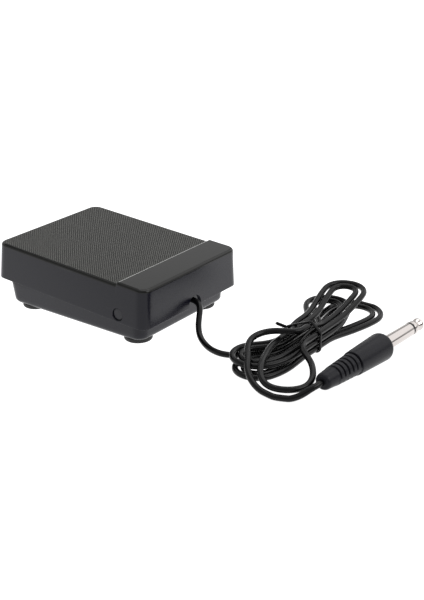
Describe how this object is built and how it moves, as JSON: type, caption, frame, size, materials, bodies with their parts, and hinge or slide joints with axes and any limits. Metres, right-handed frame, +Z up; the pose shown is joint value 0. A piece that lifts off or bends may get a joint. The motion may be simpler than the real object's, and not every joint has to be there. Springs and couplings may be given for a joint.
{
  "type": "sustain pedal",
  "caption": "Foot-operated sustain pedal: a sprung hinged cover over a shallow base, with a thin cord tied in a hank and a straight audio plug.",
  "frame": {"origin": "centre of the pedal body's footprint, at the bottom of its rubber feet", "axes": "+X from the toe end to the hinge and cord end, +Y across the pedal, +Z up"},
  "size_m": [0.1841, 0.1079, 0.0329],
  "materials": {
    "cover": "satin",
    "base": "satin",
    "pin": "satin",
    "foot": "matte",
    "spring": "satin",
    "insulating_board": "matte",
    "contact": "satin",
    "screw": "satin",
    "cord": "satin",
    "wire_red": "satin",
    "wire_white": "satin",
    "tie": "matte",
    "handle": "matte",
    "plug": "polished",
    "insulator": "gloss"
  },
  "bodies": {
    "base": {"base_tray": "base", "hinge_pin_left": "pin", "hinge_pin_right": "pin", "foot_front_left": "foot", "foot_front_right": "foot", "foot_rear_left": "foot", "foot_rear_right": "foot", "return_spring": "spring", "contact_block": "insulating_board", "lower_contact": "contact", "contact_spacer": "insulating_board", "upper_terminal": "contact", "contact_cap": "insulating_board", "contact_screws": "screw", "cord_clamp": "base", "clamp_screws": "screw", "inner_cord": "cord", "signal_wire": "wire_red", "ground_wire": "wire_white", "cord_lead": "cord", "cord_hank": "cord", "cord_tail": "cord", "cord_tie": "tie", "plug_handle": "handle", "plug_sleeve": "plug", "plug_insulator": "insulator", "plug_tip": "plug"},
    "pedal": {"pedal_cover": "cover"},
    "blade": {"contact_blade": "contact"}
  },
  "joints": [
    {"name": "pedal_press", "type": "hinge", "parent": "base", "child": "pedal", "pos_m": [0.03065, 0, 0.0152], "axis": [0, -1, 0], "range_deg": [0, 3], "stiffness_Nm_per_rad": 2.6, "springref_deg": -4.58, "deforming": ["return_spring"]},
    {"name": "contact_flex", "type": "hinge", "parent": "base", "child": "blade", "pos_m": [0.016, 0, 0.0134], "axis": [0, -1, 0], "range_deg": [0, 6.8]}
  ],
  "couplings": [
    {"joint": "contact_flex", "follows": "pedal_press", "ratio": 2.22}
  ]
}
